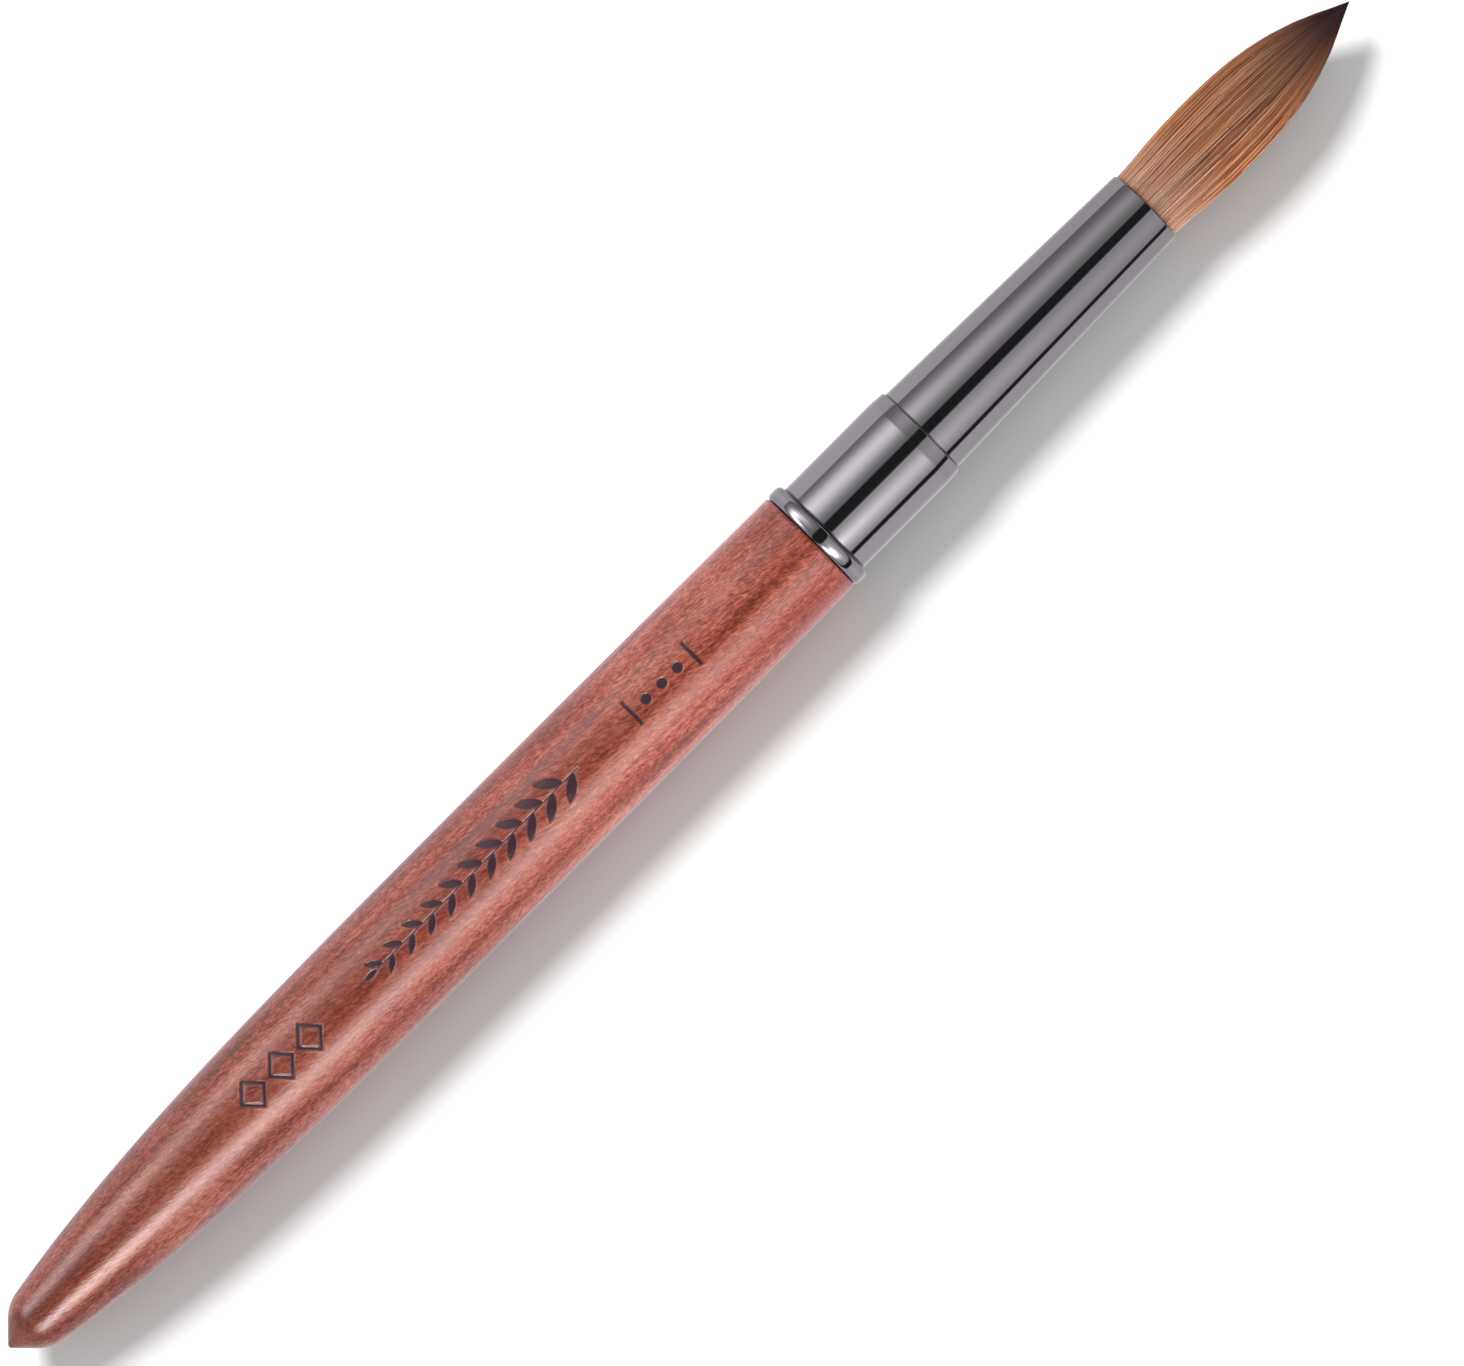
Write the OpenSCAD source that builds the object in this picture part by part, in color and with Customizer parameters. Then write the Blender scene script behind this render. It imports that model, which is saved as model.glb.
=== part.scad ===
// Acrylic nail brush: a pointed hardwood handle, a beaded metal collar, a tapered
// metal ferrule and a round, pointed tuft of natural hair.
// The brush lies along X with its butt at -X and its hair tip at +X. +Z is up, and the
// handle's ornament faces up. The origin is under the middle of the brush, on the surface
// that it lies on.
// Each piece is turned about its own Z axis, where a "station" is the distance from the
// butt, and lay_down() brings that axis down along X.

/* [Handle] */
// Length of the bare wood, from the pointed butt to the collar
handle_length = 107.3; // [95:0.2:140]
// Distance of the fattest place from the butt
belly_station = 65; // [50:1:85]
// How far the wood swells at its fattest place, on the radius, beyond its front end
belly_swell = 0.2; // [0:0.05:1.5]
// Length of the cone at the butt
butt_cone_length = 2.75; // [1.5:0.05:4]
// Radius of the wood where that cone ends
butt_cone_radius = 2.93; // [1.5:0.01:4]
// How far the point of that cone is blunted
butt_blunting = 0.15; // [0.05:0.01:0.3]
// Rounding of the front edge of the wood
shoulder_round = 0.25; // [0.05:0.05:0.6]
// Length of the hidden tenon beyond the collar's lip
tenon_nose_length = 8; // [3:0.5:12]
// Chamfer at the end of the tenon
tenon_chamfer = 0.6; // [0.2:0.1:1.5]

/* [Ornament] */
// Depth of the burned ornament
ornament_depth = 0.1; // [0.05:0.01:0.4]
// Height of the ornament across the handle
ornament_height = 3.7; // [2:0.1:5]
// Turn of the ornament about the handle, away from straight up
ornament_turn = 5; // [-20:1:20]
// Distance from the collar to the row of dots
dots_setback = 15.2; // [8:0.1:20]
// Length of the row of dots
dots_length = 8.3; // [5:0.1:12]
// Distance from the collar to the leaf sprig
sprig_setback = 30.4; // [28:0.1:34]
// Length of the leaf sprig
sprig_length = 28.4; // [20:0.1:30]
// Distance from the collar to the lozenges
lozenges_setback = 64.2; // [62:0.1:70]
// Length of the row of lozenges
lozenges_length = 11.3; // [8:0.1:14]
// Width of the ornament's thin lines
ornament_line = 0.4; // [0.2:0.02:0.6]

/* [Ferrule] */
// Diameter of the ferrule where it leaves the collar
ferrule_seat_diameter = 9.66; // [7:0.02:14]
// Diameter of the ferrule at its mouth
ferrule_mouth_diameter = 8.12; // [6:0.02:9.6]
// Length of the ferrule in front of the collar
ferrule_length = 30; // [20:0.5:45]
// Wall of the ferrule
ferrule_wall = 0.35; // [0.2:0.05:0.6]
// Gap left between the ferrule's back end and the wood's shoulder
ferrule_end_gap = 0.3; // [0.1:0.1:1]

/* [Collar] */
// Length of the collar's straight barrel
collar_barrel_length = 11.5; // [6:0.1:20]
// Length of the rolled bead against the wood
bead_length = 1.7; // [1:0.1:3]
// How far the bead stands above the barrel
bead_height = 0.7; // [0.3:0.05:1.5]
// How far the bead stands above the wood's front edge
bead_proud = 0.12; // [0.02:0.02:0.5]
// Length of the bevel in front of the barrel
bevel_length = 1.5; // [0.5:0.1:3]
// How far that bevel falls
bevel_drop = 0.11; // [0.02:0.01:0.18]
// Rounding of the front lip
lip_round = 0.12; // [0.04:0.01:0.16]
// Wall of the collar
collar_wall = 0.35; // [0.3:0.01:0.6]

/* [Glue] */
// Thickness of the glue film between the collar and the ferrule
collar_glue_film = 0.04; // [0.02:0.01:0.1]
// Thickness of the glue film between the ferrule and the wood's tenon
tenon_glue_film = 0.05; // [0.02:0.01:0.1]
// How far each glue film stays short of the open ends
glue_setback = 0.6; // [0.2:0.1:1.5]

/* [Hair] */
// Length of the hair in front of the ferrule
tuft_length = 27; // [15:0.5:36]
// Diameter of the hair at its belly
tuft_diameter = 8.54; // [7.6:0.02:12]
// Distance of the hair's belly from the ferrule's mouth
tuft_belly_station = 9.6; // [6:0.1:13]
// Power of the curve from the belly to the tip: higher is fuller
tuft_fullness = 2.45; // [1.6:0.05:3.5]
// Length of the hair inside the ferrule
hair_root_length = 15; // [8:0.5:18]
// Clearance of the hair in the ferrule's bore
hair_gap = 0.05; // [0.02:0.01:0.2]
// Gap between the hair's fixed heel and its free part
flex_gap = 0.15; // [0.1:0.05:0.4]
// Room between the ferrule's lip and the free part as it bends
flex_room = 0.35; // [0.2:0.05:0.8]
// Thickness of the binding thread
thread_diameter = 0.35; // [0.2:0.05:0.6]
// Number of turns of the binding thread
thread_turns = 8; // [3:1:12]
// Distance of the binding from the hair's root end
thread_setback = 4; // [2.5:0.5:5]
// Length of the resin plug behind the hair
resin_length = 3; // [1:0.5:5]
// Length of the root end that the resin soaks and caps round
resin_cup = 1; // [0.5:0.5:2]

/* [Hidden] */
$fn = 96;
CURVE_STEPS = 20;
DISTANT = 100;

// Radii, from the ferrule outwards
seat_r = ferrule_seat_diameter / 2;
mouth_r = ferrule_mouth_diameter / 2;
collar_bore_r = seat_r + collar_glue_film;
collar_r = collar_bore_r + collar_wall;
bead_r = collar_r + bead_height;
neck_r = bead_r - bead_proud;
belly_r = neck_r + belly_swell;
tenon_r = seat_r - ferrule_wall - tenon_glue_film;
mouth_bore_r = mouth_r - ferrule_wall;
tuft_r = tuft_diameter / 2;
tuft_mouth_r = mouth_bore_r - hair_gap;

// Stations from the butt
shoulder = handle_length;
barrel_start = shoulder + bead_length;
bevel_start = barrel_start + collar_barrel_length;
lip = bevel_start + bevel_length;
mouth = lip + ferrule_length;
tip = mouth + tuft_length;
root_end = mouth - hair_root_length;
axis_height = max(belly_r, bead_r);

// The spheres about the middle of the mouth that the hair bends on
heel_r = mouth_r + flex_room;
socket_r = heel_r + flex_gap;

// Curves

function lerp(a, b, t) = a + (b - a) * t;

function quadratic(a, b, c, t) = lerp(lerp(a, b, t), lerp(b, c, t), t);

function cubic(a, b, c, d, t) = lerp(quadratic(a, b, c, t), quadratic(b, c, d, t), t);

// A quarter round from one point of an outline to another, about a corner
function rounded(from, corner, to, steps = 6) =
    [for (i = [0 : steps]) quadratic(from, corner, to, i / steps)];

// Ferrule radius outside, at a station in front of the collar's lip
function ferrule_r(station) = lerp(seat_r, mouth_r, max(0, (station - lip) / ferrule_length));

// Radius of the hair's outline, at a distance from the mouth
function hair_r(x) = x < tuft_belly_station
    ? tuft_r - (tuft_r - tuft_mouth_r) * pow(1 - x / tuft_belly_station, 2)
    : tuft_r * (1 - pow((x - tuft_belly_station) / (tuft_length - tuft_belly_station), tuft_fullness));

// Handle outline as [radius, station] pairs

butt_corner = [butt_cone_radius, butt_cone_length];
butt_corner_blend = 0.35;
body_full_at = 17.25;
body_full_until = 27;
body_blend_t = 0.025;

// The side of the butt's cone, from the sharp point that it would have
function butt_side(t) = lerp([0, -butt_blunting], butt_corner, t);

function body_curve(t) = cubic(
    butt_corner,
    [belly_r, butt_cone_length + body_full_at],
    [belly_r, belly_station - body_full_until],
    [belly_r, belly_station],
    t
);

function neck_curve(t) = [belly_r - belly_swell * t * t, lerp(belly_station, shoulder, t)];

blunt_t = butt_blunting / (butt_cone_length + butt_blunting);
neck_end_t = 1 - shoulder_round / (shoulder - belly_station);
handle_outline = concat(
    rounded([0, 0], butt_side(blunt_t), butt_side(2 * blunt_t), 4),
    rounded(butt_side(1 - butt_corner_blend), butt_corner, body_curve(body_blend_t)),
    [for (i = [1 : CURVE_STEPS]) body_curve(lerp(body_blend_t, 1, i / CURVE_STEPS))],
    [for (i = [1 : CURVE_STEPS / 2]) neck_curve(neck_end_t * i / (CURVE_STEPS / 2))],
    rounded(neck_curve(neck_end_t), [neck_r, shoulder], [neck_r - shoulder_round, shoulder], 4)
);

// Placing

// Lays a piece that stands on its butt down along X, with its middle over the origin
module lay_down() {
    translate([-tip / 2, 0, axis_height]) rotate([0, 90, 0]) children();
}

module turned(outline) {
    rotate_extrude() polygon(outline);
}

// Ornament, drawn flat: X runs from the collar towards the butt, and Y across the handle

module petal(length, width) {
    bow = (length * length + width * width) / (4 * width);
    translate([length / 2, 0]) intersection() {
        translate([0, bow - width / 2]) circle(r = bow);
        translate([0, width / 2 - bow]) circle(r = bow);
    }
}

// Three dots between two upright bars
module dots() {
    count = 3;
    bar = [ornament_line, ornament_height * 0.8];
    for (x = [ornament_line / 2, dots_length - ornament_line / 2])
        translate([x, 0]) square(bar, center = true);
    for (i = [1 : count])
        translate([dots_length * i / (count + 1), 0]) circle(d = ornament_line * 2.8);
}

// A stem with leaves to either side in turn, shorter towards its point, and one at the point
module sprig() {
    leaves = 20;
    lean = 38;
    slim = 0.36;
    long_leaf = ornament_height / 2 / sin(lean);
    short_leaf = long_leaf * 0.62;
    stem = sprig_length - short_leaf;
    translate([0, -ornament_line / 4]) square([stem + 0.2, ornament_line / 2]);
    translate([stem, 0]) petal(short_leaf, short_leaf * slim);
    for (i = [0 : leaves - 1])
        let (size = lerp(long_leaf, short_leaf, i / leaves))
        translate([stem * (i + 0.5) / leaves, 0]) rotate(i % 2 == 0 ? lean : -lean)
            petal(size, size * slim);
}

module lozenge(half) {
    rotate(45) square(half * sqrt(2), center = true);
}

// Three open lozenges in a row
module lozenges() {
    count = 3;
    pitch = lozenges_length / count;
    half = pitch * 0.47;
    for (i = [0 : count - 1])
        translate([pitch * (i + 0.5), 0]) difference() {
            lozenge(half);
            lozenge(half - ornament_line * sqrt(2));
        }
}

module ornament() {
    translate([dots_setback, 0]) dots();
    translate([sprig_setback, 0]) sprig();
    translate([lozenges_setback, 0]) lozenges();
}

// The ornament as a skin of the handle, down to its depth below the surface
module ornament_cut() {
    skin = [for (p = handle_outline) if (p[1] > butt_cone_length && p[1] < shoulder - shoulder_round) p];
    count = len(skin);
    intersection() {
        turned(concat(
            [for (p = skin) p + [1, 0]],
            [for (i = [1 : count]) skin[count - i] - [ornament_depth, 0]]
        ));
        translate([0, 0, shoulder]) rotate([0, 0, 180 - ornament_turn]) rotate([0, 90, 0])
            linear_extrude(height = DISTANT) ornament();
    }
}

// Pieces

module handle() {
    nose = lip + tenon_nose_length;
    nose_gap = ferrule_wall + tenon_glue_film;
    color("sienna") lay_down() difference() {
        turned(concat(
            handle_outline,
            [
                [tenon_r, shoulder],
                [tenon_r, lip],
                [ferrule_r(nose - tenon_chamfer) - nose_gap, nose - tenon_chamfer],
                [ferrule_r(nose) - nose_gap - tenon_chamfer, nose],
                [0, nose]
            ]
        ));
        ornament_cut();
    }
}

// Half outline of the rolled bead: a rounded oblong, by the rule that the cubes of its two
// shares add up to one
function bead_arc(half_length, height, steps = 16) = [for (i = [0 : steps])
    let (u = -cos(180 * i / steps))
    [collar_r + height * pow(1 - pow(abs(u), 3), 1 / 3), shoulder + bead_length / 2 + half_length * u]];

module collar() {
    hollow = bead_arc(bead_length / 2 - collar_wall, bead_height - collar_wall);
    count = len(hollow);
    color("dimgray") lay_down() turned(concat(
        [[collar_bore_r, shoulder]],
        bead_arc(bead_length / 2, bead_height),
        [[collar_r, bevel_start]],
        rounded([collar_r - bevel_drop * (1 - lip_round / bevel_length), lip - lip_round],
                [collar_r - bevel_drop, lip],
                [collar_r - bevel_drop - lip_round, lip]),
        [[collar_bore_r, lip]],
        [[collar_bore_r, shoulder + bead_length - collar_wall]],
        [for (i = [1 : count]) hollow[count - i]],
        [[collar_bore_r, shoulder + collar_wall]]
    ));
}

module ferrule() {
    back = shoulder + ferrule_end_gap;
    edge = ferrule_wall * 0.5;
    color("gray") lay_down() turned(concat(
        [[seat_r - ferrule_wall, back], [seat_r, back], [seat_r, lip]],
        rounded([ferrule_r(mouth - edge), mouth - edge], [mouth_r, mouth], [mouth_r - edge, mouth]),
        [[mouth_bore_r, mouth], [seat_r - ferrule_wall, lip]]
    ));
}

module film(inner_r, outer_r, from, to) {
    translate([0, 0, from]) difference() {
        cylinder(r = outer_r, h = to - from);
        translate([0, 0, -1]) cylinder(r = inner_r, h = to - from + 2);
    }
}

module collar_glue() {
    color("khaki") lay_down()
        film(seat_r, collar_bore_r, barrel_start + glue_setback, lip - glue_setback);
}

module tenon_glue() {
    color("khaki") lay_down()
        film(tenon_r, seat_r - ferrule_wall, shoulder + ferrule_end_gap + glue_setback, lip - glue_setback);
}

// Radius of the hair inside the ferrule
function root_r(station) = ferrule_r(station) - ferrule_wall - hair_gap;

// The waist that the thread is wound in. The thread is flush with the hair at its narrow end.
waist_from = root_end + thread_setback;
waist_to = waist_from + thread_diameter * (thread_turns + 1);
waist_r = root_r(waist_to) - thread_diameter;
thread_slack = 0.01;

// Outline of the whole bundle in front of the mouth, as [radius, station] pairs
hair_outline = [for (i = [0 : 2 * CURVE_STEPS])
    let (x = tuft_length * i / (2 * CURVE_STEPS)) [hair_r(x), mouth + x]];

module hair_root() {
    color("peru") lay_down() intersection() {
        turned(concat(
            [
                [0, root_end],
                [root_r(root_end), root_end],
                [root_r(waist_from), waist_from],
                [waist_r, waist_from + thread_diameter / 2],
                [waist_r, waist_to - thread_diameter / 2],
                [root_r(waist_to), waist_to]
            ],
            hair_outline
        ));
        union() {
            translate([0, 0, mouth]) sphere(r = heel_r);
            translate([0, 0, root_end - 1]) cylinder(r = DISTANT, h = hair_root_length + 1);
        }
    }
}

module binding_thread() {
    color("ivory") lay_down()
        for (i = [1 : thread_turns])
            translate([0, 0, waist_from + thread_diameter * i]) rotate_extrude()
                translate([waist_r + thread_diameter / 2, 0]) circle(d = thread_diameter - 2 * thread_slack);
}

module root_resin() {
    back = root_end - resin_length;
    front = root_end + resin_cup;
    dish = resin_length * 0.3;
    color("goldenrod") lay_down() turned([
        [0, back + dish],
        [ferrule_r(back) - ferrule_wall, back],
        [ferrule_r(front) - ferrule_wall, front],
        [root_r(front), front],
        [root_r(root_end), root_end],
        [0, root_end]
    ]);
}

module hair_tuft() {
    color("sienna") lay_down() difference() {
        turned(concat([[0, mouth]], hair_outline));
        translate([0, 0, mouth]) sphere(r = socket_r);
    }
}

handle();
collar();
ferrule();
collar_glue();
tenon_glue();
hair_root();
binding_thread();
root_resin();
hair_tuft();
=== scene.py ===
"""Acrylic nail brush: a turned hardwood handle, a beaded metal collar, a tapered metal ferrule and a tuft
of natural hair."""

import math

import bpy
import numpy as np
from mathutils import Matrix, Vector


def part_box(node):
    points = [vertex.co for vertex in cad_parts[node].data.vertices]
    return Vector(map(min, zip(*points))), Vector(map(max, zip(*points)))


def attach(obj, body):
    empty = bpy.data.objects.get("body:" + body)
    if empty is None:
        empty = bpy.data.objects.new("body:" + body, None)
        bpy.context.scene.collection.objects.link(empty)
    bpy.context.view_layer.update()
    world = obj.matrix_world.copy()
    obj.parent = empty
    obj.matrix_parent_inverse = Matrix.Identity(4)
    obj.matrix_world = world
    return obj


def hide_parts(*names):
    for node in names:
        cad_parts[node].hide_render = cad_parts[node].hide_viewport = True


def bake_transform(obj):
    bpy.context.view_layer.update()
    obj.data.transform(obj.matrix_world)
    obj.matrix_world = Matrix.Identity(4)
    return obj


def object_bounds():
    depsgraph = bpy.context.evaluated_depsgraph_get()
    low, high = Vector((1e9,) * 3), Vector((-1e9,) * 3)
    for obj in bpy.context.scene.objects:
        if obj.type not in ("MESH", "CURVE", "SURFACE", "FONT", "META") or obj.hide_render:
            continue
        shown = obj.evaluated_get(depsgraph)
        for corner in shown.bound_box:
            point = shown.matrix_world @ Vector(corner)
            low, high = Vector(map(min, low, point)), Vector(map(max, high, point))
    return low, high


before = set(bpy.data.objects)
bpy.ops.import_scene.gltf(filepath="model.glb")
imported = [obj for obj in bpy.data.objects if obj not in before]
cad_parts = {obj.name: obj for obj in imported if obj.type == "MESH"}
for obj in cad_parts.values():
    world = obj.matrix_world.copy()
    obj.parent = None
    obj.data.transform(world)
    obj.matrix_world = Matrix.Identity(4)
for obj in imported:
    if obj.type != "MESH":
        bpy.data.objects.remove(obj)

CAD_BOX = [list(corner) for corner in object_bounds()]

# BUTT and AXIS_HEIGHT are places in the shared frame, in metres. The rest are stations, which are
# millimetres from the butt, and radii and lengths in millimetres.
MM = 0.001
BUTT = CAD_BOX[0][0]
AXIS_HEIGHT = (CAD_BOX[0][2] + CAD_BOX[1][2]) / 2


def station(x):
    """How far a place in the frame is from the butt, in millimetres."""
    return (x - BUTT) / MM


SHOULDER = station(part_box("collar")[0].x)
LIP = station(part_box("collar")[1].x)
FERRULE_BACK = station(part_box("ferrule")[0].x)
MOUTH = station(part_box("ferrule")[1].x)
TIP = station(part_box("hair_tuft")[1].x)
ROOT_BACK = station(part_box("hair_root")[0].x)
BODY_R = (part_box("handle")[1].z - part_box("handle")[0].z) / 2 / MM
BEAD_R = (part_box("collar")[1].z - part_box("collar")[0].z) / 2 / MM
SEAT_R = (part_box("ferrule")[1].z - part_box("ferrule")[0].z) / 2 / MM
TUFT_R = (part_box("hair_tuft")[1].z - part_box("hair_tuft")[0].z) / 2 / MM

BELLY = 65.0          # station where the wood is thickest
NECK_DRAW = 0.2       # how far the wood draws in from there to the collar
NECK_R = BODY_R - NECK_DRAW
SHOULDER_ROUND = 0.25
BEAD_RISE = 0.7
BEAD_LENGTH = 1.7
COLLAR_R = BEAD_R - BEAD_RISE
LIP_ROUND = 0.12
BEVEL_LENGTH = 1.5
BEVEL_DROP = 0.11
WALL = 0.35
COLLAR_FILM = 0.04    # glue between the collar and the ferrule
TENON_FILM = 0.05     # glue between the ferrule and the wood
MOUTH_R = 4.06
HAIR_MOUTH_R = 3.66
TUFT_LENGTH = TIP - MOUTH
TUFT_BELLY = 9.6      # from the mouth to the thickest hair
TUFT_TAPER = 2.45     # power by which the hair closes to its point
HAIR_HEEL = 1.5       # how far single hairs start inside the mouth
FAR = 9.0             # a distance past any mark or seam that shows


# Curves and outlines. Every outline is rows of (station, radius).

def bezier(points, count):
    """A Bezier curve: each control point, weighted by its own term when (t + (1 - t)) is raised to one less
    than their number."""
    points = np.asarray(points, float)
    t = np.linspace(0, 1, count)
    n = len(points) - 1
    shares = [math.comb(n, k) * t**k * (1 - t) ** (n - k) for k in range(n + 1)]
    return np.stack(shares, 1) @ points


def between(a, b, t):
    """The point a share t of the way from a to b."""
    return np.asarray(a, float) * (1 - t) + np.asarray(b, float) * t


def step(low, high, value):
    """Rises smoothly from 0 at low to 1 at high: 3 t squared less 2 t cubed."""
    t = np.clip((value - low) / (high - low), 0, 1)
    return t * t * (3 - 2 * t)


def handle_outline():
    """A blunted cone, a soft corner, a full body, a neck that draws in with the square of the distance, and
    a rounded shoulder."""
    corner = (2.75, 2.93)
    point = (-0.15, 0.0)
    blunt = -point[0] / (corner[0] - point[0])
    nose = bezier([(0, 0), between(point, corner, blunt), between(point, corner, 2 * blunt)], 7)
    side = np.linspace(between(point, corner, 2 * blunt), between(point, corner, 0.65), 10)[1:]
    swell = bezier([corner, (20, BODY_R), (38, BODY_R), (BELLY, BODY_R)], 1600)[40:]
    soft_corner = bezier([side[-1], corner, swell[0]], 9)[1:]
    t = np.linspace(0, 1 - SHOULDER_ROUND / (SHOULDER - BELLY), 900)[1:]
    neck = np.stack([BELLY + (SHOULDER - BELLY) * t, BODY_R - NECK_DRAW * t * t], 1)
    quarter = np.linspace(0, math.pi / 2, 7)
    edge = np.stack([SHOULDER - SHOULDER_ROUND + SHOULDER_ROUND * np.sin(quarter),
                     NECK_R - SHOULDER_ROUND + SHOULDER_ROUND * np.cos(quarter)], 1)
    return np.vstack([nose, side, soft_corner]), np.vstack([swell, neck]), edge


def hair_radius(x):
    """Radius of the bundle at x from the mouth: a parabola up to the belly, then 1 less a power of the way
    to the tip."""
    rise = TUFT_R - (TUFT_R - HAIR_MOUTH_R) * (1 - x / TUFT_BELLY) ** 2
    way = np.clip((x - TUFT_BELLY) / (TUFT_LENGTH - TUFT_BELLY), 0, 1)
    fall = TUFT_R * (1 - way**TUFT_TAPER)
    inside = HAIR_MOUTH_R - x * (SEAT_R - MOUTH_R) / (MOUTH - LIP)
    return np.where(x < 0, inside, np.where(x < TUFT_BELLY, rise, fall))


# Meshes

def add_mesh(name, points, quads, fans, body, material, values=None, blended=False):
    """Puts a shape in the scene. Points are in millimetres about the axis, from the butt, and values are
    attributes at the points. A piece with a body is attached to it; a blended piece is left unattached, with
    its place baked into its points."""
    places = np.asarray(points, float) * MM + np.array([BUTT, 0, AXIS_HEIGHT])
    mesh = bpy.data.meshes.new(name)
    faces = quads.tolist() + list(fans)
    mesh.from_pydata(places.tolist(), [], faces)
    mesh.polygons.foreach_set("use_smooth", np.ones(len(mesh.polygons), bool))
    for key, value in (values or {}).items():
        mesh.attributes.new(key, "FLOAT", "POINT").data.foreach_set("value", np.asarray(value, np.float32))
    mesh.materials.append(material)
    mesh.update()
    piece = bpy.data.objects.new(name, mesh)
    bpy.context.scene.collection.objects.link(piece)
    if body and blended:
        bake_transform(piece)
    elif body:
        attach(piece, body)
    return piece


def turn(name, outline, angles, body, material, dress=None, blended=False):
    """A turned piece: the outline carried once round the axis. A row of no radius is one point, and an
    outline with neither end on the axis closes on itself. Dress says how far the surface sinks, and gives
    its attributes."""
    outline = np.asarray(outline, float)
    start, end = outline[0, 1] < 1e-9, outline[-1, 1] < 1e-9
    rows = outline[1 if start else 0:len(outline) - 1 if end else len(outline)]
    count, sides = len(rows), len(angles)
    x = np.repeat(rows[:, 0], sides).reshape(count, sides)
    r = np.repeat(rows[:, 1], sides).reshape(count, sides)
    a = np.tile(angles, (count, 1))
    values = {}
    if dress:
        sink, values = dress(x, r, a)
        r = r - sink
    points = np.stack([x, r * np.sin(a), r * np.cos(a)], -1).reshape(-1, 3)
    ring = np.arange(count if not (start or end) else count - 1)[:, None]
    here = np.arange(sides)[None, :]
    ahead = (here + 1) % sides
    next_ring = (ring + 1) % count
    quads = np.stack([ring * sides + here, next_ring * sides + here,
                      next_ring * sides + ahead, ring * sides + ahead], -1).reshape(-1, 4)
    fans, poles = [], []
    side = np.arange(sides)
    if start:
        pole = len(points) + len(poles)
        poles.append([outline[0, 0], 0, 0])
        fans += np.stack([np.full(sides, pole), side, (side + 1) % sides], 1).tolist()
    if end:
        pole = len(points) + len(poles)
        poles.append([outline[-1, 0], 0, 0])
        last = (count - 1) * sides
        fans += np.stack([np.full(sides, pole), last + (side + 1) % sides, last + side], 1).tolist()
    if poles:
        points = np.vstack([points, poles])
    values = {key: np.append(value.ravel(), np.full(len(poles), FAR)) for key, value in values.items()}
    return add_mesh(name, points, quads, fans, body, material, values, blended)


def even_angles(sides):
    """Angles all round, at equal steps."""
    return np.arange(sides) * 2 * math.pi / sides


# Ornament, drawn flat: X runs from the collar towards the butt and Y across the handle. Every shape is
# given by its distance, which is negative inside it.

ORNAMENT_TURN = math.radians(5)
ORNAMENT_LINE = 0.4
ORNAMENT_HEIGHT = 3.7
DOTS = (15.2, 8.3)        # setback from the collar and length
SPRIG = (30.4, 28.4)
LOZENGES = (64.2, 11.3)


def bar(x, y, width, height):
    """Distance to an upright rectangle: the length of the way past its sides, or the nearer side from
    inside."""
    dx, dy = np.abs(x) - width / 2, np.abs(y) - height / 2
    return np.hypot(np.maximum(dx, 0), np.maximum(dy, 0)) + np.minimum(np.maximum(dx, dy), 0)


def petal(x, y, length, width, lean):
    """Distance to a leaf from its foot: the further of two equal circles that cross at its ends."""
    along = x * math.cos(lean) + y * math.sin(lean)
    across = y * math.cos(lean) - x * math.sin(lean)
    bow = (length**2 + width**2) / (4 * width)
    return np.maximum(np.hypot(along - length / 2, across - bow + width / 2),
                      np.hypot(along - length / 2, across + bow - width / 2)) - bow


def ornament_distance(x, y):
    """Distance to the nearest of the dots and their bars, the leaf sprig, and the open lozenges."""
    found = np.full(x.shape, FAR)
    start, length = DOTS
    for place in (ORNAMENT_LINE / 2, length - ORNAMENT_LINE / 2):
        found = np.minimum(found, bar(x - start - place, y, ORNAMENT_LINE, ORNAMENT_HEIGHT * 0.8))
    for i in (1, 2, 3):
        found = np.minimum(found, np.hypot(x - start - length * i / 4, y) - ORNAMENT_LINE * 1.4)
    start, length = SPRIG
    leaves, lean, slim = 20, math.radians(38), 0.36
    long_leaf = ORNAMENT_HEIGHT / 2 / math.sin(lean)
    short_leaf = long_leaf * 0.62
    stem = length - short_leaf
    found = np.minimum(found, bar(x - start - stem / 2, y, stem, ORNAMENT_LINE / 2))
    found = np.minimum(found, petal(x - start - stem, y, short_leaf, short_leaf * slim, 0))
    for i in range(leaves):
        size = between(long_leaf, short_leaf, i / leaves)
        foot = start + stem * (i + 0.5) / leaves
        found = np.minimum(found, petal(x - foot, y, size, size * slim, -lean if i % 2 else lean))
    start, length = LOZENGES
    pitch = length / 3
    for i in range(3):
        side = (np.abs(x - start - pitch * (i + 0.5)) + np.abs(y) - pitch * 0.47) / math.sqrt(2)
        found = np.minimum(found, np.maximum(side, -side - ORNAMENT_LINE))
    return found


def burn_ornament(x, r, a):
    """Sinks the surface a tenth of a millimetre inside the ornament and lifts a fine burr along its
    edge."""
    turn_by = a - ORNAMENT_TURN
    flat_x = SHOULDER - x
    flat_y = -r * np.sin(turn_by)
    distance = ornament_distance(flat_x, flat_y)
    distance = np.where((np.cos(turn_by) > 0) & (x < SHOULDER - 1) & (x > 20), distance, FAR)
    sink = 0.1 * step(0.05, -0.06, distance) - 0.03 * np.exp(-((distance - 0.09) / 0.06) ** 2)
    return sink, {"mark_distance": np.clip(distance, -1, 1), "seam_distance": np.abs(x - SHOULDER)}


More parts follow.
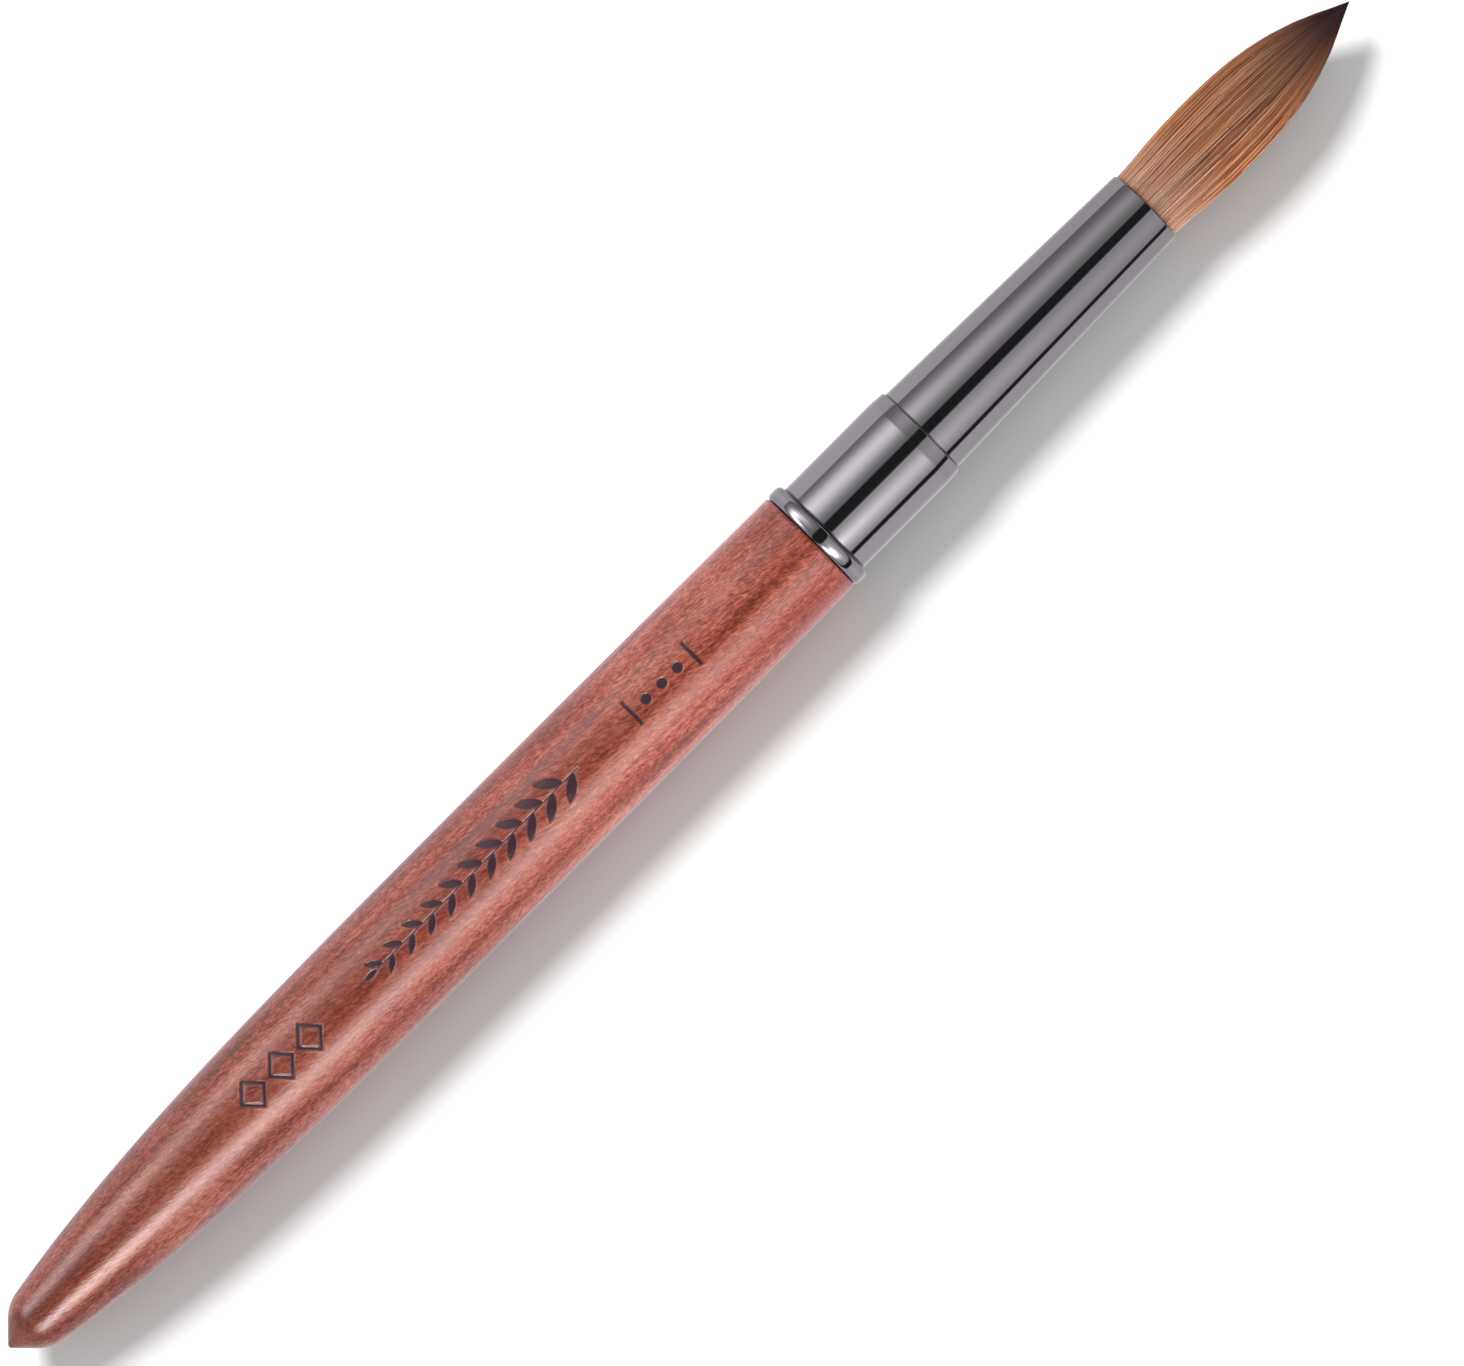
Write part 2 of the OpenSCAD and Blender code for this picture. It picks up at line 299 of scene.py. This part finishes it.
def near_seams(*places):
    """A dress that leaves the surface alone and notes how far along it is from the nearest of some
    seams."""
    def dress(x, r, a):
        return np.zeros_like(x), {"seam_distance": np.min([np.abs(x - place) for place in places], 0)}
    return dress


# Materials

class Nodes:
    """A material's node tree, with short ways to add and join nodes."""

    def __init__(self, name):
        self.material = bpy.data.materials.new(name)
        self.material.use_nodes = True
        self.tree = self.material.node_tree
        self.shader = self.tree.nodes["Principled BSDF"]

    def add(self, kind, settings=None, **sockets):
        """Adds a node. Sockets are named with spaces as underscores and given a value or another node's
        output."""
        node = self.tree.nodes.new("ShaderNode" + kind)
        for key, value in (settings or {}).items():
            setattr(node, key, value)
        for key, value in sockets.items():
            self.feed(node, key.replace("_", " "), value)
        return node

    def feed(self, node, socket, value):
        """Sets a socket, by name or number, to a value or joins it to an output."""
        target = node.inputs[int(socket[1:]) if socket[:1] == "n" and socket[1:].isdigit() else socket]
        if isinstance(value, bpy.types.NodeSocket):
            self.tree.links.new(value, target)
        else:
            target.default_value = value

    def finish(self, **sockets):
        """Sets or joins the shader's own sockets and hands over the material."""
        for key, value in sockets.items():
            self.feed(self.shader, key.replace("_", " "), value)
        return self.material

    def spaced(self, stretch, turned=(0, 0, 0)):
        """Object coordinates in millimetres, turned, then squeezed by stretch along each axis."""
        place = self.add("TexCoord").outputs["Object"]
        turned_place = self.add("Mapping", Vector=place, Scale=(1000, 1000, 1000), Rotation=turned)
        return self.add("Mapping", Vector=turned_place.outputs[0], Scale=stretch).outputs[0]

    def noise(self, vector, detail=3.0, roughness=0.5, distortion=0.0):
        """Soft noise between 0 and 1, about one blotch to each unit of the vector."""
        node = self.add("TexNoise", Vector=vector, Scale=1.0, Detail=detail, Roughness=roughness,
                        Distortion=distortion)
        return node.outputs["Fac"]

    def ramp(self, value, *stops):
        """A colour or grey for each value, from stops of (place, colour or grey)."""
        node = self.add("ValToRGB", Fac=value)
        elements = node.color_ramp.elements
        while len(elements) < len(stops):
            elements.new(0.5)
        for element, (place, tint) in zip(elements, stops):
            element.position = place
            element.color = (*tint, 1) if isinstance(tint, tuple) else (tint, tint, tint, 1)
        return node.outputs["Color"]

    def math(self, operation, *values):
        """One sum, product or the like of numbers or outputs."""
        node = self.add("Math", {"operation": operation})
        for i, value in enumerate(values):
            self.feed(node, f"n{i}", value)
        return node.outputs[0]

    def mix(self, share, a, b, blend="MIX"):
        """Colour a, with b laid over it by share."""
        node = self.add("Mix", {"data_type": "RGBA", "blend_type": blend})
        for i, value in ((0, share), (6, a), (7, b)):
            self.feed(node, f"n{i}", (*value, 1) if isinstance(value, tuple) and len(value) == 3 else value)
        return node.outputs[2]

    def bump(self, height, strength, distance):
        """A surface direction that follows a height, with its depth in metres."""
        return self.add("Bump", Height=height, Strength=strength, Distance=distance).outputs[0]


def lacquered_wood():
    """Red hardwood under a satin lacquer: soft streaks along the handle, a darker layer through the middle
    of the blank that bows aside towards the collar and, along the top, is also painted shade, short slanting
    fibres, dark pores, a tone that deepens towards the butt, burned marks with a painted highlight along
    their rims, and a dark line at the collar that is painted shade in the joint."""
    n = Nodes("lacquered_red_hardwood")
    wander = n.noise(n.spaced((0.05, 0.1, 0.1)), detail=3)
    streaks = n.noise(n.spaced((0.022, 0.55, 0.55)), detail=4, roughness=0.6, distortion=0.3)
    cloud = n.noise(n.spaced((0.09, 0.3, 0.3)), detail=3, roughness=0.6)
    fibres = n.noise(n.spaced((1.3, 4.6, 4.6), (0, 0.05, 0.25)), detail=4, roughness=0.75, distortion=0.4)
    pores = n.noise(n.spaced((1.3, 5.0, 5.0), (0, 0.1, 0.32)), detail=2, roughness=0.5)
    tone = n.math("ADD", n.math("MULTIPLY", streaks, 0.65), n.math("MULTIPLY", cloud, 0.30))
    tone = n.math("ADD", tone, n.math("MULTIPLY", fibres, 0.95))
    tint = n.ramp(n.math("SUBTRACT", tone, 0.43), (0.36, (0.15, 0.024, 0.012)), (0.46, (0.32, 0.052, 0.024)),
                  (0.55, (0.46, 0.096, 0.044)), (0.68, (0.60, 0.200, 0.110)))
    place = n.add("SeparateXYZ", Vector=n.spaced((1, 1, 1)))
    bow = n.math("MULTIPLY", n.math("MAXIMUM", n.math("ADD", place.outputs["X"], 8.0), 0.0), 0.2)
    across = n.math("ADD", place.outputs["Y"], bow)
    sway = n.math("MULTIPLY", n.math("SUBTRACT", wander, 0.5), 5.0)
    layer = n.math("ABSOLUTE", n.math("ADD", across, sway))
    # The darker layer shows along the top of the handle: a layer in the wood that is also painted shade.
    dark_layer_and_top_shade = n.ramp(n.math("DIVIDE", layer, 4.0), (0.10, 0.36), (0.75, 0.0))
    tint = n.mix(dark_layer_and_top_shade, tint, (0.22, 0.028, 0.010))
    pore_share = n.ramp(pores, (0.34, 0.60), (0.43, 0.0))
    tint = n.mix(pore_share, tint, (0.100, 0.018, 0.010))
    lengthwise = n.math("MULTIPLY_ADD", place.outputs["X"], 0.0046, 1.09)
    tint = n.mix(1.0, tint, lengthwise, "MULTIPLY")
    mark = n.add("Attribute", {"attribute_name": "mark_distance"}).outputs["Fac"]
    inside = n.ramp(n.math("ADD", mark, 0.5), (0.44, 1.0), (0.53, 0.0))
    # A paler rim just inside each mark: a painted highlight on the burr.
    edge = n.ramp(n.math("ABSOLUTE", n.math("ADD", mark, 0.01)), (0.0, 0.45), (0.07, 0.0))
    tint = n.mix(inside, tint, (0.056, 0.015, 0.023))
    tint = n.mix(n.math("MULTIPLY", edge, inside), tint, (0.13, 0.10, 0.11))
    # A dark line where the wood meets the collar: painted shade in the joint.
    seam = n.add("Attribute", {"attribute_name": "seam_distance"}).outputs["Fac"]
    tint = n.mix(n.ramp(seam, (0.03, 0.50), (0.18, 0.0)), tint, (0.035, 0.008, 0.008))
    grain = n.math("ADD", fibres, n.math("MULTIPLY", pores, 0.7))
    bumps = n.bump(grain, 0.35, 0.00006)
    return n.finish(Base_Color=tint, Roughness=0.5, Specular_IOR_Level=0.08, Normal=bumps,
                    Coat_Weight=1.0, Coat_Roughness=0.18, Coat_IOR=1.5,
                    Coat_Normal=n.bump(grain, 0.45, 0.00005),
                    Sheen_Weight=0.22, Sheen_Roughness=0.30, Sheen_Tint=(0.28, 0.45, 1.0, 1))


def gunmetal():
    """Polished dark plating, with faint rings from the polishing wheel, a very light haze, and a dark,
    rougher line in the seams and creases that is partly dirt left by polishing and partly painted shade."""
    n = Nodes("polished_gunmetal")
    rings = n.noise(n.spaced((9, 0.15, 0.15)), detail=2)
    haze = n.noise(n.spaced((0.25, 0.25, 0.25)), detail=4, roughness=0.6)
    seam = n.add("Attribute", {"attribute_name": "seam_distance"}).outputs["Fac"]
    # A dark, rougher line at the seams and creases: partly dirt left by polishing, partly painted shade.
    residue_and_shade = n.ramp(seam, (0.06, 0.85), (0.22, 0.0))
    rough = n.math("ADD", n.ramp(haze, (0.35, 0.055), (0.7, 0.085)), n.math("MULTIPLY", residue_and_shade, 0.3))
    tint = n.mix(residue_and_shade, (0.305, 0.290, 0.310), (0.020, 0.017, 0.019))
    return n.finish(Base_Color=tint, Metallic=1.0, Roughness=rough, Normal=n.bump(rings, 0.04, 0.00001))


def natural_hair(name, lift=1.0):
    """Copper hair: every hair has its own tone, is a little lighter at its root, which is a painted
    highlight, and turns nearly black towards its tip. Lift makes all the tones lighter or darker."""
    def lifted(*tone):
        return tuple(lift * part for part in tone)

    n = Nodes(name)
    tone = n.add("Attribute", {"attribute_name": "tone"}).outputs["Fac"]
    along = n.add("Attribute", {"attribute_name": "along"}).outputs["Fac"]
    tint = n.ramp(tone, (0.0, lifted(0.17, 0.050, 0.020)), (0.35, lifted(0.50, 0.180, 0.068)),
                  (0.65, lifted(0.80, 0.34, 0.145)), (1.0, lifted(1.0, 0.70, 0.46)))
    # Painted highlight: a paler, whiter tone near the root.
    tint = n.mix(n.ramp(along, (0.0, 0.42), (0.26, 0.0)), tint, (0.92, 0.64, 0.50))
    shifted = n.math("ADD", along, n.math("MULTIPLY", n.math("SUBTRACT", tone, 0.5), 0.18))
    dark = n.ramp(shifted, (0.36, 0.0), (0.60, 0.28), (0.72, 0.53), (0.84, 0.82), (0.94, 1.0))
    tint = n.mix(dark, tint, (0.042, 0.014, 0.017))
    return n.finish(Base_Color=tint, Roughness=0.40, Specular_IOR_Level=0.3,
                    Sheen_Weight=0.10, Sheen_Roughness=0.4, Sheen_Tint=(0.70, 0.80, 1.0, 1))


def waxed_thread():
    """Cream cotton, twisted: slanting bands round the thread."""
    n = Nodes("waxed_thread")
    twist = n.noise(n.spaced((14, 5, 5), (0.6, 0.2, 0.5)), detail=3)
    tint = n.ramp(twist, (0.35, (0.55, 0.49, 0.38)), (0.65, (0.86, 0.82, 0.72)))
    return n.finish(Base_Color=tint, Roughness=0.7, Normal=n.bump(twist, 0.5, 0.00005))


def amber_resin(name, tint_low, tint_high):
    """Cast resin: clear amber with soft clouds."""
    n = Nodes(name)
    cloud = n.noise(n.spaced((0.6, 0.6, 0.6)), detail=3)
    tint = n.ramp(cloud, (0.3, tint_low), (0.7, tint_high))
    return n.finish(Base_Color=tint, Roughness=0.18, Transmission_Weight=0.4, IOR=1.5)


# Pieces

def make_handle(material):
    """The handle, with its tenon: its outline in fine rows where the ornament is, and in coarse rows
    elsewhere, and finely divided round its top as well."""
    butt, body, edge = handle_outline()
    margin, spacing = 0.35, 0.09
    fine = np.concatenate([np.arange(SHOULDER - start - length - margin, SHOULDER - start + margin, spacing)
                           for start, length in (LOZENGES, SPRIG, DOTS)])
    coarse = np.arange(body[0, 0] + 0.25, body[-1, 0] - 0.2, 1.0)
    near = np.abs(coarse[:, None] - fine[None, :]).min(1) < 0.3
    close = np.array([body[0, 0] + 0.05, body[0, 0] + 0.5, body[0, 0] + 0.8, body[-1, 0] - 0.05, body[-1, 0]])
    stations = np.sort(np.concatenate([fine, coarse[~near], close]))
    middle = np.stack([stations, np.interp(stations, body[:, 0], body[:, 1])], 1)
    tenon_r = SEAT_R - WALL - TENON_FILM
    past_lip = 8.0
    nose = LIP + past_lip
    nose_r = tenon_r - (SEAT_R - MOUTH_R) * past_lip / (MOUTH - LIP)
    tenon = [(SHOULDER, tenon_r + 0.02), (SHOULDER, tenon_r), (SHOULDER + 0.02, tenon_r), (LIP, tenon_r),
             (nose - 0.6, nose_r + 0.02), (nose, nose_r - 0.6), (nose, 0.02), (nose, 0)]
    outline = np.vstack([butt, middle, edge, tenon])
    fine_turn = ORNAMENT_TURN + np.radians(np.arange(-20, 20.01, 0.87))
    coarse_turn = np.linspace(fine_turn[-1], fine_turn[0] + 2 * math.pi, 82)[1:-1]
    handle = turn("handle_wood", outline, np.concatenate([fine_turn, coarse_turn]), "root",
                  material, burn_ornament)
    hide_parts("handle")
    return handle


def make_collar(material):
    """The collar: a rolled bead, where the cube of the way from its middle and the cube of its rise add up
    to one, a straight barrel, a shallow bevel, a rounded lip and a plain bore."""
    bore = SEAT_R + COLLAR_FILM
    u = -np.cos(np.linspace(0, math.pi, 41))
    bead = np.stack([SHOULDER + BEAD_LENGTH / 2 * (1 + u),
                     COLLAR_R + BEAD_RISE * (1 - np.abs(u) ** 3) ** (1 / 3)], 1)
    bevel = LIP - BEVEL_LENGTH
    drop = COLLAR_R - BEVEL_DROP
    quarter = np.linspace(0, math.pi / 2, 7)
    lip = np.stack([LIP - LIP_ROUND + LIP_ROUND * np.sin(quarter),
                    drop - LIP_ROUND + LIP_ROUND * np.cos(quarter)], 1)
    outline = np.vstack([
        [(SHOULDER, bore), (SHOULDER, bore + 0.02), (SHOULDER, COLLAR_R - 0.02)], bead,
        [(SHOULDER + BEAD_LENGTH + 0.03, COLLAR_R), (SHOULDER + BEAD_LENGTH + 0.3, COLLAR_R),
         (bevel - 0.3, COLLAR_R), (bevel - 0.03, COLLAR_R), (bevel, COLLAR_R - 0.001),
         (bevel + 0.03, COLLAR_R - 0.0035), (LIP - 0.3, drop + 0.012)], lip,
        [(LIP, bore + 0.02), (LIP, bore), (LIP - 0.02, bore), (SHOULDER + 0.02, bore)]])
    collar = turn("collar_sleeve", outline, even_angles(192), "root", material,
                  near_seams(SHOULDER + BEAD_LENGTH + 0.05))
    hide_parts("collar")
    return collar


def make_ferrule(material):
    """The ferrule: straight in the collar, a cone to the mouth, a rolled edge, and the same shape inside
    less the wall."""
    half = WALL / 2
    cone = [(s, between(SEAT_R, MOUTH_R, (s - LIP) / (MOUTH - LIP)))
            for s in (LIP + 10, LIP + 20, MOUTH - 1, MOUTH - half - 0.05)]
    round_turn = np.linspace(0, math.pi, 15)
    edge = np.stack([MOUTH - half + half * np.sin(round_turn), MOUTH_R - half + half * np.cos(round_turn)], 1)
    outline = np.vstack([
        [(FERRULE_BACK, SEAT_R - WALL), (FERRULE_BACK, SEAT_R - WALL + 0.02), (FERRULE_BACK, SEAT_R - 0.02),
         (FERRULE_BACK, SEAT_R), (FERRULE_BACK + 0.02, SEAT_R), (LIP - 0.05, SEAT_R), (LIP, SEAT_R),
         (LIP + 0.05, SEAT_R - 0.0013)],
        cone, edge,
        [(MOUTH - 1, MOUTH_R - WALL + 0.025), (LIP + 0.05, SEAT_R - WALL), (LIP - 0.05, SEAT_R - WALL),
         (FERRULE_BACK + 0.02, SEAT_R - WALL)]])
    ferrule = turn("ferrule_tube", outline, even_angles(192), "root", material,
                   near_seams(LIP, MOUTH + 0.1))
    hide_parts("ferrule")
    return ferrule


def lock_tone(angle):
    """How light the hair is round the bundle: a sum of waves, which gives broad locks and narrow ones. The
    seed is fixed, so that the core and the single hairs have the same locks."""
    rng = np.random.default_rng(7)
    total = np.zeros_like(angle)
    for waves in (2, 3, 5, 9, 14, 23, 37):
        total += np.cos(waves * angle + rng.uniform(0, 2 * math.pi)) / waves**0.25
    return total / 3.2


def make_hair_core(material):
    """The closed bundle under the outer hairs: the bundle's own outline, drawn in a little and rippled
    round by a cosine, in darker tones that are painted shade."""
    drawn_in = 0.94
    heel_r = 3.9
    heel = [(ROOT_BACK, 0), (ROOT_BACK, 0.02), (ROOT_BACK, heel_r), (ROOT_BACK + 0.05, heel_r + 0.03)]
    x = np.concatenate([np.arange(-14, 0, 2.0), np.linspace(0, TUFT_LENGTH - 0.05, 110)])
    outline = np.vstack([heel, np.stack([MOUTH + x, hair_radius(x) * drawn_in], 1), [(TIP + 0.05, 0)]])

    def dress(x, r, a):
        along = (x - MOUTH) / TUFT_LENGTH
        # A lower tone than the single hairs: painted shade under them.
        tone = 0.36 + 0.12 * lock_tone(a)
        ripple = 0.03 * np.cos(60 * a) * step(0, 0.1, along) * step(0.95, 0.7, along)
        return ripple, {"tone": tone, "along": along}

    core = turn("hair_core", outline, even_angles(240), "tuft", material, dress, blended=True)
    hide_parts("hair_root", "hair_tuft")
    return core


def make_hairs(name, count, seed, inner, outer, material):
    """Single hairs, each a three-sided tube. A hair keeps its share of the bundle's radius and nearly its
    angle from the ferrule to its own end, is thickest at its middle, and thins to a point."""
    rng = np.random.default_rng(seed)
    rings, sides = 12, 3
    t = np.linspace(0, 1, rings)[None, :] ** 0.85
    share = np.sqrt(rng.uniform(inner**2, outer**2, count))[:, None]
    angle = rng.uniform(0, 2 * math.pi, count)[:, None]
    end = TUFT_LENGTH * (1.014 - 0.34 * rng.beta(0.9, 2.4, count)[:, None] * step(0.2, 1.0, share))
    x = -HAIR_HEEL + (end + HAIR_HEEL) * t
    bow = rng.normal(0, 0.010, count)[:, None] * np.sin(math.pi * t)
    drift = rng.normal(0, 0.055, count)[:, None] * (t - 0.3)
    drift = drift + rng.normal(0, 0.02, count)[:, None] * np.sin(2 * math.pi * t)
    r = hair_radius(x) * np.minimum(share + bow * (x > 0), 1.0)
    a = angle + drift
    centre = np.stack([x + MOUTH, r * np.sin(a), r * np.cos(a)], -1)
    thickness = rng.uniform(0.038, 0.062, count)[:, None]
    width = thickness * (0.8 + 0.35 * np.sin(math.pi * t)) * (1 - t**6) + 0.003
    turn_by = a[..., None] + np.arange(sides) * 2 * math.pi / sides
    across = np.stack([np.zeros_like(turn_by), np.sin(turn_by), np.cos(turn_by)], -1)
    points = (centre[:, :, None, :] + width[:, :, None, None] * across).reshape(-1, 3)
    hair = np.arange(count)[:, None, None] * rings * sides
    ring = np.arange(rings - 1)[None, :, None] * sides
    side = np.arange(sides)[None, None, :]
    ahead = (side + 1) % sides
    quads = np.stack([hair + ring + side, hair + ring + sides + side, hair + ring + sides + ahead,
                      hair + ring + ahead], -1).reshape(-1, 4)
    first = np.arange(count)[:, None] * rings * sides
    last = first + (rings - 1) * sides
    caps = np.vstack([first + np.array([0, 1, 2]), last + np.array([0, 2, 1])]).tolist()
    fair = rng.uniform(0, 1, count)
    tone = 0.45 + 0.14 * lock_tone(angle[:, 0]) + rng.normal(0, 0.22, count)
    tone = np.clip(tone + 0.36 * (fair > 0.92) - 0.26 * (fair < 0.14), 0, 1)
    values = {"tone": np.repeat(tone, rings * sides), "along": np.repeat((x / TUFT_LENGTH).ravel(), sides)}
    return add_mesh(name, points, quads, caps, "tuft", material, values, blended=True)


# Studio

def make_camera():
    """A long lens straight above, turned so that the brush runs from the lower left to the upper right."""
    middle = (0.00309, -0.00412)
    lens_height = 0.67
    view_width = 0.13825
    aim = Vector((*middle, AXIS_HEIGHT))
    eye = Vector((*middle, AXIS_HEIGHT + lens_height))
    up = Vector((0.70856, 0.70565, 0))
    back = (eye - aim).normalized()
    right = up.cross(back).normalized()
    data = bpy.data.cameras.new("camera")
    camera = bpy.data.objects.new("camera", data)
    bpy.context.scene.collection.objects.link(camera)
    turned = Matrix((right, back.cross(right), back)).transposed()
    camera.matrix_world = Matrix.Translation(eye) @ turned.to_4x4()
    data.sensor_width = 36
    data.lens = 36 * (eye - aim).length / view_width
    data.clip_start, data.clip_end = 0.01, 20
    bpy.context.scene.camera = camera


def card_glow(angle, x):
    """Light of the tent over the brush, by the angle from straight up in degrees and the place along it in
    millimetres: two soft-edged panels with a dark gap between them, brightest in their middles, even light
    from below, and two bright strips over the wood that grow stronger towards the butt."""
    def band(low, high, soft=1.2):
        return step(low - soft, low + soft, angle) * step(high + soft, high - soft, angle)

    def hump(place, width):
        return np.exp(-(((angle - place) / width) ** 2))

    near = np.exp(-(((x - 36) / 50) ** 2))
    left = (0.085 + (0.13 + 0.36 * near) * hump(-43 - 5 * near, 22)) * band(-88, -7)
    right = (0.175 + (0.055 + 0.275 * near) * hump(48, 21)) * band(17, 79)
    fade = 1 - 0.16 * step(110, 140, np.abs(angle))
    below = (0.245 + 0.045 * near) * fade * (band(-181, -89) + band(91, 181))
    metal = (0.010 + (left + right + below) * (0.4 + 0.6 * step(600, 300, x))) / 0.30
    over_wood = step(31, 22, x) * step(-650, -380, x)
    butt_side = step(0, -140, x)
    butt_end = step(-100, -260, x)
    right_strip = (7.0 + 3.5 * butt_side + 12.0 * butt_end) * hump(45 - 8 * butt_end, 9.5 - 1.5 * butt_end)
    left_strip = (2.7 + butt_side + 3.0 * butt_end) * hump(-59 + 7 * butt_end, 12 + 2 * butt_end)
    return metal + (right_strip + left_strip) * over_wood


def make_tent():
    """A round light tent along the brush, which only polished and lacquered surfaces mirror: a cylinder
    about the axis, in millimetres, divided finely over the brush and coarsely past it."""
    near, far, radius = 420, 3000, 500
    places = np.concatenate([np.arange(-far, -near, 60.0), np.arange(-near, near, 6.0),
                             np.arange(near, far + 1, 60.0)])
    angle, x = np.meshgrid(np.arange(-180.0, 180.5, 1.0), places)
    a = np.radians(angle)
    points = np.stack([x - BUTT / MM, -radius * np.sin(a), radius * np.cos(a)], -1).reshape(-1, 3)
    rows, columns = angle.shape
    i, j = np.meshgrid(np.arange(rows - 1), np.arange(columns - 1), indexing="ij")
    corner = (i * columns + j).ravel()
    quads = np.stack([corner, corner + columns, corner + columns + 1, corner + 1], 1)
    material = bpy.data.materials.new("tent_light")
    material.use_nodes = True
    tree = material.node_tree
    tree.nodes.clear()
    glow = tree.nodes.new("ShaderNodeAttribute")
    glow.attribute_name = "glow"
    light = tree.nodes.new("ShaderNodeEmission")
    light.inputs["Color"].default_value = (1.0, 0.985, 1.0, 1)
    out = tree.nodes.new("ShaderNodeOutputMaterial")
    tree.links.new(glow.outputs["Fac"], light.inputs["Strength"])
    tree.links.new(light.outputs[0], out.inputs["Surface"])
    glow_values = {"glow": card_glow(angle, x).ravel()}
    tent = add_mesh("light_tent", points, quads, [], None, material, glow_values)
    tent.visible_camera = False
    tent.visible_diffuse = False
    tent.visible_shadow = False
    tent.visible_transmission = False
    tent.visible_volume_scatter = False


def make_floor():
    """A wide pale floor that the brush lies on."""
    material = Nodes("pale_floor").finish(Base_Color=(0.66, 0.66, 0.662, 1), Roughness=0.9,
                                          Specular_IOR_Level=0.0)
    mesh = bpy.data.meshes.new("floor")
    reach = 3.0
    corners = [(-reach, -reach, 0), (reach, -reach, 0), (reach, reach, 0), (-reach, reach, 0)]
    mesh.from_pydata(corners, [], [(0, 1, 2, 3)])
    mesh.materials.append(material)
    floor = bpy.data.objects.new("floor", mesh)
    bpy.context.scene.collection.objects.link(floor)
    floor.visible_glossy = False
    return floor


def aim_light(name, lean, size, energy, pieces, tint=(1, 1, 1)):
    """A round soft light at an angle from straight up, towards +Y, that lights only the given pieces."""
    away = 0.9
    data = bpy.data.lights.new(name, "AREA")
    data.shape = "DISK"
    data.size = size
    data.energy = energy
    data.color = tint
    light = bpy.data.objects.new(name, data)
    light.location = (0.0, away * math.sin(lean), away * math.cos(lean))
    light.rotation_euler = (-lean, 0, 0)
    light.visible_glossy = False
    bpy.context.scene.collection.objects.link(light)
    lit = bpy.data.collections.new("lit_by_" + name)
    for piece in pieces:
        lit.objects.link(piece)
    light.light_linking.receiver_collection = lit


def make_lights(floor, brush):
    """Even light from all round, a key light that lays the brush's shadow on the floor, a light for each
    flank of the wood and hair, and cool light along the edges of the handle, which is the first piece of
    the brush."""
    cool = (0.04, 0.15, 1.0)
    world = bpy.data.worlds.new("studio")
    bpy.context.scene.world = world
    world.use_nodes = True
    background = world.node_tree.nodes["Background"]
    background.inputs["Color"].default_value = (1, 1, 1, 1)
    path = world.node_tree.nodes.new("ShaderNodeLightPath")
    level = world.node_tree.nodes.new("ShaderNodeMapRange")
    level.inputs["To Min"].default_value = 0.80
    level.inputs["To Max"].default_value = 0.95
    world.node_tree.links.new(path.outputs["Is Camera Ray"], level.inputs["Value"])
    world.node_tree.links.new(level.outputs[0], background.inputs["Strength"])
    aim_light("key", math.radians(38), 0.30, 12.0, [floor])
    aim_light("right_flank", math.radians(-75), 0.5, 2.7, brush)
    aim_light("left_flank", math.radians(75), 0.5, 1.0, brush)
    aim_light("right_edge", math.radians(-80), 0.5, 4.0, brush[:1], cool)
    aim_light("left_edge", math.radians(80), 0.5, 4.0, brush[:1], cool)


# The whole scene

bpy.context.scene.view_settings.view_transform = "Standard"
make_camera()
metal = gunmetal()
hair = natural_hair("copper_hair")
make_collar(metal)
make_ferrule(metal)
brush = [make_handle(lacquered_wood()),
         # The core's hair tones are darkened to 0.7: painted shade under the single hairs.
         make_hair_core(natural_hair("copper_hair_core_painted_shade", 0.7)),
         make_hairs("hair_outer", 2400, 11, 0.90, 1.0, hair),
         make_hairs("hair_middle", 2400, 12, 0.76, 0.97, hair)]
film_tints = (0.50, 0.36, 0.16), (0.70, 0.54, 0.28)
for node, look in (("binding_thread", waxed_thread()),
                   ("root_resin", amber_resin("amber_resin", (0.55, 0.34, 0.10), (0.78, 0.56, 0.24))),
                   ("collar_glue", amber_resin("collar_glue_film", *film_tints)),
                   ("tenon_glue", amber_resin("tenon_glue_film", *film_tints))):
    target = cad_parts[node]
    for place in target.material_slots:
        place.material = look
make_tent()
make_lights(make_floor(), brush)
